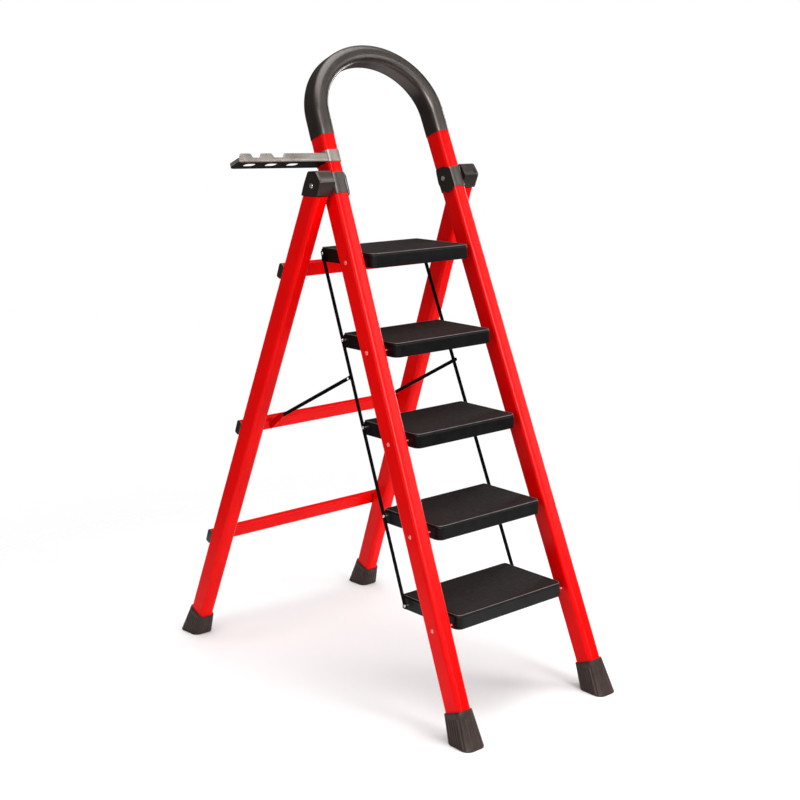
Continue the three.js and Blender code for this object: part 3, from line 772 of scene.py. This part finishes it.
def make_cap(word):
    leg = LEGS["rear", word]

    def place(y, z, x):
        return leg.frame @ Vector((leg.side * x, y, z))

    cheek_inner = CAP_OUTER - CAP_CHEEK
    body = filleted(cap_outline(leg, scooped=True), CAP_BODY_FILLET)
    cheek = filleted(cap_outline(leg, scooped=False), CAP_CHEEK_FILLET)
    node = f"hinge_cap_{word}"
    mesh = joined(f"{node}_moulding", [
        prism("body", body, place, CAP_INNER, cheek_inner + OVERLAP),
        prism("cheek", cheek, place, cheek_inner, CAP_OUTER),
    ])
    piece = new_piece(f"{node}_moulding", mesh, "rear_frame", "dark_plastic", [node])
    bevel(piece, CAP_EASE)


def make_collar(word):
    leg = LEGS["front", word]
    outward = leg.side
    start = GAP
    end = GAP + COLLAR_WALL
    face = -outward * (TUBE_WIDTH / 2 + end)

    def three_sides(margin):
        """The tube's outline without its outer face, from the rear corner to the front."""
        outline = tube_outline(margin)
        corner = CORNER_STEPS + 1
        kept = outline[corner + COLLAR_OPEN_POINTS:] + outline[:corner - COLLAR_OPEN_POINTS]
        return [(outward * x, y) for x, y in kept]

    def place(y, z, x):
        return leg.point(face - outward * x, y, z)

    section = three_sides(end) + three_sides(start)[::-1]
    saddle = skin("saddle", [leg.loop(section, z) for z in (-COLLAR_BELOW, COLLAR_ABOVE)])
    outline = [(max(y, -COLLAR_PLATE_FRONT[word]), z) for y, z in COLLAR_PLATE_OUTLINE]
    outline = filleted(outline, COLLAR_PLATE_FILLET)
    inner_plate = prism("plate", outline, place, -OVERLAP, COLLAR_PLATE)
    node = f"hinge_collar_{word}"
    mesh = joined(f"{node}_moulding", [saddle, inner_plate])
    piece = new_piece(f"{node}_moulding", mesh, "front_frame", "dark_plastic", [node])
    bevel(piece, COLLAR_EASE, segments=2)


# ---------------------------------------------------------------- steps

def step_outline(half, near, far, margin):
    """Plan of a step pulled in by a margin: large front corners, small rear ones."""
    points = []
    for quarter, (sx, sy) in enumerate(((1, -1), (1, 1), (-1, 1), (-1, -1))):
        corner = PAN_FRONT_CORNER if sy < 0 else PAN_REAR_CORNER
        radius = max(corner - margin, LEAST_CORNER)
        cx = sx * (half - margin - radius)
        cy = near + margin + radius if sy < 0 else far - margin - radius
        points += arc(cx, cy, radius, quarter - 1, 1, CORNER_STEPS)
    return points


def pan_profile(top):
    """A pan's section from inside its tray round its lip to its top: (inset, height)."""
    bottom = top - PAN_HEIGHT
    profile = [
        (PAN_WALL, top - PAN_WALL),
        (PAN_WALL, bottom + PAN_WALL),
        (PAN_LIP, bottom + PAN_WALL),
        (PAN_LIP, bottom),
    ]
    profile += [(inset, bottom + up) for inset, up in PAN_LIP_EDGE]
    return profile + arc(PAN_EDGE, top - PAN_EDGE, PAN_EDGE, 2, -1, PAN_EDGE_STEPS)


def bead_profile(crown):
    """The round section of the moulded line on a mat's edge."""
    centre = crown - MAT_BEAD * MAT_BEAD_SINK
    return arc(MAT_INSET, centre, MAT_BEAD, 2, -4, MAT_BEAD_POINTS)[:-1]


def make_step(number):
    body = f"step_{number}"
    pan = f"{body}_pan"
    mat = f"{body}_mat"
    pivot = JOINTS[f"{body}_tilt"]
    low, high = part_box(pan)
    half = (high.x - low.x) / 2
    top = high.z - pivot.z
    near = low.y - pivot.y
    far = high.y - pivot.y
    origin = Vector((MIDDLE_X, pivot.y, pivot.z))

    def loops(profile):
        return [
            [origin + Vector((x, y, z)) for x, y in step_outline(half, near, far, inset)]
            for inset, z in profile
        ]

    mesh = skin(f"{pan}_pressing", loops(pan_profile(top)))
    flat_faces(new_piece(f"{pan}_pressing", mesh, body, "tread_pan", [pan]))

    base = top + GAP
    profile = [(MAT_INSET + inset, base + up) for inset, up in MAT_PROFILE]
    mesh = skin(f"{mat}_rubber", loops(profile))
    flat_faces(new_piece(f"{mat}_rubber", mesh, body, "tread_mat", [mat]))

    # The bead round the mat is finished lighter than the mat itself: a painted highlight on its edge.
    edging = skin(f"{mat}_edging", loops(bead_profile(base + MAT_THICKNESS)), ring=True)
    new_piece(
        f"{mat}_edging", edging, body, "tread_mat", sharp_angle=60, finish="mat_bead_highlight"
    )


# ---------------------------------------------------------------- crossbars

def make_crossbar(level):
    node = f"crossbar_{level}"
    low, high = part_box(node)
    centre = (low + high) / 2
    turn = LEGS["rear", "left"].frame.to_3x3()
    half = (high.x - low.x) / 2

    def loop(margin, x):
        thickness = CROSSBAR_THICKNESS + 2 * margin
        height = CROSSBAR_HEIGHT + 2 * margin
        outline = rounded_rectangle(thickness, height, CROSSBAR_CORNER + margin)
        return [centre + Vector((x, 0, 0)) + turn @ Vector((0, y, z)) for y, z in outline]

    outer = [loop(0, -half), loop(0, half)]
    inner = [loop(-TUBE_WALL, half), loop(-TUBE_WALL, -half)]
    mesh = skin(f"{node}_tube", outer + inner, ring=True)
    flat_faces(new_piece(f"{node}_tube", mesh, "rear_frame", "red_paint", [node]))

    for word, side in SIDES.items():
        loops = [loop(margin, side * (half + along)) for margin, along in PLUG_PROFILE]
        plug = skin(f"{node}_plug_{word}", loops)
        new_piece(f"{node}_plug_{word}", plug, "rear_frame", "dark_plastic")


# ---------------------------------------------------------------- fasteners

def fastener_profile(size, length, tail):
    """A fastener's section from the top of its head to its tail: (radius, along)."""
    profile = [(DOME_TIP, size["rise"])]
    for step in range(1, DOME_STEPS + 1):
        angle = (1 - step / DOME_STEPS) * math.pi / 2
        profile.append((size["head"] * math.cos(angle), size["rise"] * math.sin(angle)))
    profile += [(size["head"] * HEAD_SEAT, -HEAD_RIM), (size["shank"], -HEAD_RIM)]
    profile += [(size["shank"], -length), (tail, -length), (tail, -length - TAIL_RIM)]
    profile.append((tail * TAIL_CHAMFER, -length - TAIL_THICKNESS))
    return profile


def make_fastener(
    node, body, kind, slot, head_side, extra=0.0, wide_tail=False, finish=None
):
    """A domed fastener along X. It lies where the CAD one does, and head_side is the
    sign of X at its head; extra lengthens it at the tail."""
    low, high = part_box(node)
    centre = (low + high) / 2
    size = FASTENERS[kind]
    head_x = high.x - size["rise"] if head_side > 0 else low.x + size["rise"]
    length = high.x - low.x - size["rise"] - TAIL_THICKNESS + extra
    tail = size["head"] if wide_tail else size["tail"]
    loops = []
    for radius, along in fastener_profile(size, length, tail):
        loop = []
        for i in range(FASTENER_POINTS):
            angle = 2 * math.pi * i / FASTENER_POINTS
            y = radius * math.cos(angle)
            z = radius * math.sin(angle)
            offset = Vector((head_side * along, y, z))
            loop.append(Vector((head_x, centre.y, centre.z)) + offset)
        loops.append(loop)
    mesh = skin(f"{node}_turned", loops)
    new_piece(f"{node}_turned", mesh, body, slot, [node], sharp_angle=50, finish=finish)


def make_fasteners():
    for word, side in SIDES.items():
        for number in STEP_NUMBERS:
            step = f"step_{number}"
            # The pivot rivets' heads take a pink-lightened red, a painted highlight.
            make_fastener(
                f"{step}_pivot_{word}", "front_frame", "pivot", "red_paint", side,
                finish="rivet_painted_highlight",
            )
            make_fastener(f"{step}_link_rivet_{word}", step, "small", "zinc_fastener", side)
        make_fastener(
            f"hinge_pin_{word}", "front_frame", "hinge", "zinc_fastener", side,
            extra=COLLAR_PLATE,
        )
        make_fastener(
            f"strut_pin_{word}", f"link_{word}", "small", "black_steel", -side,
            extra=STRUT_PIN_EXTRA, wide_tail=True,
        )
    make_fastener("hook_screw", "front_frame", "small", "zinc_fastener", -1)


# ---------------------------------------------------------------- hook

def make_clamp():
    leg = LEGS["front", "left"]
    outer = GAP + CLAMP_WALL
    eased = outer - CLAMP_EASE
    profile = [
        (GAP, CLAMP_BOTTOM), (eased, CLAMP_BOTTOM), (outer, CLAMP_BOTTOM + CLAMP_EASE),
        (outer, CLAMP_TOP - CLAMP_EASE), (eased, CLAMP_TOP), (GAP, CLAMP_TOP),
    ]
    loops = [leg.loop(tube_outline(margin), z) for margin, z in profile]
    mesh = skin("hook_clamp_band", loops, ring=True)
    flat_faces(new_piece("hook_clamp_band", mesh, "front_frame", "hook_steel", ["hook_clamp"]))


def hook_wall_outline():
    """The front wall seen from in front: (along the arm, up)."""
    points = [(0, HOOK_BEND), (0, HOOK_WALL), (HOOK_PLATEAU, HOOK_WALL)]
    points.append((HOOK_PLATEAU + HOOK_SLOPE, HOOK_LOW_WALL))
    for start, end in HOOK_BUMPS:
        points += [(start - HOOK_SLOPE, HOOK_LOW_WALL), (start, HOOK_WALL)]
        points += [(end, HOOK_WALL), (end + HOOK_SLOPE, HOOK_LOW_WALL)]
    points += [(HOOK_LENGTH, HOOK_TIP_WALL), (HOOK_LENGTH, HOOK_BEND)]
    return filleted(points, HOOK_WALL_FILLET, HOOK_WALL_FILLET_STEPS)


def hook_nose(radius):
    """The rounded corner at the arm's free end: (along the arm, behind its front)."""
    along = HOOK_LENGTH - HOOK_NOSE
    behind = HOOK_DEPTH - HOOK_NOSE
    return arc(along, behind, radius, 0, 1, HOOK_NOSE_STEPS)


def hook_floor_outline():
    base = HOOK_BEND - HOOK_SHEET
    return [(0, base), (HOOK_LENGTH, base), *hook_nose(HOOK_NOSE), (0, HOOK_DEPTH)]


def slot_outline(centre):
    straight = (HOOK_SLOT_LENGTH - HOOK_SLOT_WIDTH) / 2
    radius = HOOK_SLOT_WIDTH / 2
    points = []
    for end in (1, -1):
        middle = centre + end * straight
        points += arc(middle, HOOK_DEPTH / 2, radius, -end, 2, HOOK_SLOT_STEPS)
    return points


def hook_bend_section():
    """The quarter bend that joins the floor to the front wall: (behind, up)."""
    behind = HOOK_BEND - HOOK_SHEET
    outer = arc(behind, HOOK_BEND, HOOK_BEND, 2, 1, HOOK_BEND_STEPS)
    inner = arc(behind, HOOK_BEND, HOOK_BEND - HOOK_SHEET, 2, 1, HOOK_BEND_STEPS)
    return outer + inner[::-1]


def lip_section():
    """Plan of the low wall round the floor's free end."""
    front = -HOOK_SHEET / 2
    straight = [(HOOK_LENGTH - HOOK_SHEET, front), (HOOK_LENGTH, front)]
    return straight + hook_nose(HOOK_NOSE) + hook_nose(HOOK_NOSE - HOOK_SHEET)[::-1]


def hook_root_outline():
    """The plate that stands against the clamp: (behind, up)."""
    corners = [(0, 0), (HOOK_DEPTH, 0), (HOOK_DEPTH, HOOK_ROOT_HEIGHT), (0, HOOK_ROOT_HEIGHT)]
    return filleted(corners, HOOK_ROOT_FILLET)


def make_hook():
    leg = LEGS["front", "left"]
    face = leg.half_width(-CLAMP_BOTTOM) + TUBE_WIDTH / 2 + 2 * GAP + CLAMP_WALL
    root = (
        leg.frame
        @ Matrix.Translation((-face, -TUBE_DEPTH / 2, CLAMP_BOTTOM))
        @ Matrix.Rotation(leg.taper, 4, "Y")
    )
    half = HOOK_SHEET / 2

    def at(along, behind, up):
        return root @ Vector((-along, behind, up))

    def on_wall(along, up, through):
        return at(along, through - half, up)

    def on_floor(along, behind, through):
        return at(along, behind, half + through)

    def on_root(behind, up, through):
        return at(half + through, behind, up)

    def on_bend(behind, up, along):
        return at(along, behind, up)

    def sheet(name, outline, holes, place):
        return plate(name, outline, holes, HOOK_SHEET, HOOK_EDGE, place)

    slots = [slot_outline(centre) for centre in HOOK_SLOTS]
    floor = sheet("hook_arm_floor_shaded_black", hook_floor_outline(), slots, on_floor)
    mesh = joined("hook_arm_sheet", [
        sheet("wall", hook_wall_outline(), [], on_wall),
        prism("bend", hook_bend_section(), on_bend, HOOK_EDGE, HOOK_BEND_END),
        prism("lip", lip_section(), at, half, HOOK_LOW_WALL),
        sheet("root", hook_root_outline(), [], on_root),
    ])
    new_piece("hook_arm_sheet", mesh, "front_frame", "hook_steel", ["hook_arm"])
    # The floor plate takes the black finish, unlike the grey sheet: painted shade for its underside.
    new_piece("hook_arm_floor_shaded_black", floor, "front_frame", "black_steel")


# ---------------------------------------------------------------- carried-over CAD nodes

def finish_cad_node(name, slot, edge=0.0):
    """Gives a CAD node that stays its material, and eases its edges."""
    node = frame["nodes"][name]
    node.data.materials.clear()
    node.data.materials.append(MATERIALS[slot])
    if edge:
        bevel(node, edge, segments=2)


def finish_cad_nodes():
    finish_cad_node("handrail_tube", "red_paint")
    for word in SIDES:
        for kind, (slot, edge) in KEPT_NODES.items():
            finish_cad_node(f"{kind}_{word}", slot, edge)


# ---------------------------------------------------------------- stage

def area_light(
    name, place, width, height, power, aim=LIGHT_AIM, reflected=True, lighting=True
):
    """A light turned to the ladder's middle line. It can be left out of reflections,
    or be there for reflections alone."""
    data = bpy.data.lights.new(name, "AREA")
    data.shape = "RECTANGLE"
    data.size = width
    data.size_y = height
    data.energy = power
    light = bpy.data.objects.new(name, data)
    light.location = place
    light.visible_glossy = reflected
    light.visible_diffuse = lighting
    towards = Vector((MIDDLE_X, 0, aim)) - Vector(place)
    light.rotation_euler = towards.to_track_quat("-Z", "Y").to_euler()
    bpy.context.scene.collection.objects.link(light)


def floor_material():
    """Matt near-white that fades out towards the floor's edge."""
    material, tree, shader = new_material("studio_floor")
    shader.inputs["Base Color"].default_value = (0.95, 0.95, 0.95, 1)
    shader.inputs["Roughness"].default_value = 0.9
    shader.inputs["Specular IOR Level"].default_value = 0.1
    distance = tree.nodes.new("ShaderNodeVectorMath")
    distance.operation = "LENGTH"
    tree.links.new(coordinates(tree), distance.inputs[0])
    fade = tree.nodes.new("ShaderNodeMapRange")
    fade.interpolation_type = "SMOOTHSTEP"
    fade.inputs["From Min"].default_value = FLOOR_SOLID_RADIUS
    fade.inputs["From Max"].default_value = FLOOR_RADIUS
    fade.inputs["To Min"].default_value = 1
    fade.inputs["To Max"].default_value = 0
    tree.links.new(distance.outputs["Value"], fade.inputs["Value"])
    tree.links.new(fade.outputs["Result"], shader.inputs["Alpha"])
    return material


def make_floor():
    work = bmesh.new()
    bmesh.ops.create_circle(work, cap_ends=True, segments=FLOOR_POINTS, radius=FLOOR_RADIUS)
    mesh = bpy.data.meshes.new("studio_floor")
    work.to_mesh(mesh)
    work.free()
    mesh.materials.append(floor_material())
    floor = bpy.data.objects.new("studio_floor", mesh)
    floor.location = (MIDDLE_X, 0, -FLOOR_DROP)
    bpy.context.scene.collection.objects.link(floor)


def make_world():
    """White behind the ladder, and dimmer where it lights it or is reflected in it."""
    world = bpy.data.worlds.new("studio")
    world.use_nodes = True
    tree = world.node_tree
    background = tree.nodes["Background"]
    background.inputs["Color"].default_value = (1, 1, 1, 1)
    rays = tree.nodes.new("ShaderNodeLightPath")
    unseen = tree.nodes.new("ShaderNodeMapRange")
    unseen.inputs["To Min"].default_value = AMBIENT_LIGHT
    unseen.inputs["To Max"].default_value = REFLECTED_SURROUNDINGS
    tree.links.new(rays.outputs["Is Glossy Ray"], unseen.inputs["Value"])
    seen = tree.nodes.new("ShaderNodeMapRange")
    seen.inputs["To Max"].default_value = 1
    tree.links.new(rays.outputs["Is Camera Ray"], seen.inputs["Value"])
    tree.links.new(unseen.outputs["Result"], seen.inputs["To Min"])
    tree.links.new(seen.outputs["Result"], background.inputs["Strength"])
    bpy.context.scene.world = world


def make_camera():
    data = bpy.data.cameras.new("camera")
    data.lens = CAMERA_LENS
    data.sensor_width = CAMERA_SENSOR
    camera = bpy.data.objects.new("camera", data)
    target = CAMERA_TARGET + Vector((MIDDLE_X, 0, 0))
    camera.location = target + CAMERA_OFFSET
    camera.rotation_euler = (-CAMERA_OFFSET).to_track_quat("-Z", "Y").to_euler()
    bpy.context.scene.collection.objects.link(camera)
    bpy.context.scene.camera = camera


def make_lights():
    area_light("key", (0.3, -3.5, 2.1), width=0.9, height=2.6, power=36)
    area_light("right_front", (2.5, -2.7, 2.3), width=1.2, height=2.2, power=38)
    area_light(
        "left_fill", (-3.6, -0.6, 1.6), width=2.4, height=2.4, power=62, reflected=False
    )
    area_light(
        "low_front", (0.5, -3.4, 0.5), width=2.0, height=0.8, power=88, aim=0.6,
        reflected=False,
    )
    area_light("overhead", (0.2, -0.2, 4.2), width=3.6, height=3.6, power=146)
    area_light(
        "near_gloss", (-2.3, -3.0, 2.5), width=0.9, height=1.8, power=155, lighting=False
    )
    area_light(
        "right_gloss", (3.6, 0.6, 1.0), width=1.2, height=2.4, power=110, lighting=False
    )


def make_stage():
    make_floor()
    make_world()
    make_camera()
    make_lights()
    bpy.context.scene.view_settings.view_transform = "Standard"


# ---------------------------------------------------------------- assembly

def make_ladder():
    for end, word in LEGS:
        make_upright(end, word)
    for end, word in LEGS:
        make_shoe(end, word)
    make_sleeve()
    for word in SIDES:
        make_cap(word)
        make_collar(word)
    for number in STEP_NUMBERS:
        make_step(number)
    for level in CROSSBARS:
        make_crossbar(level)
    make_fasteners()
    make_clamp()
    make_hook()
    finish_cad_nodes()


make_ladder()
make_stage()
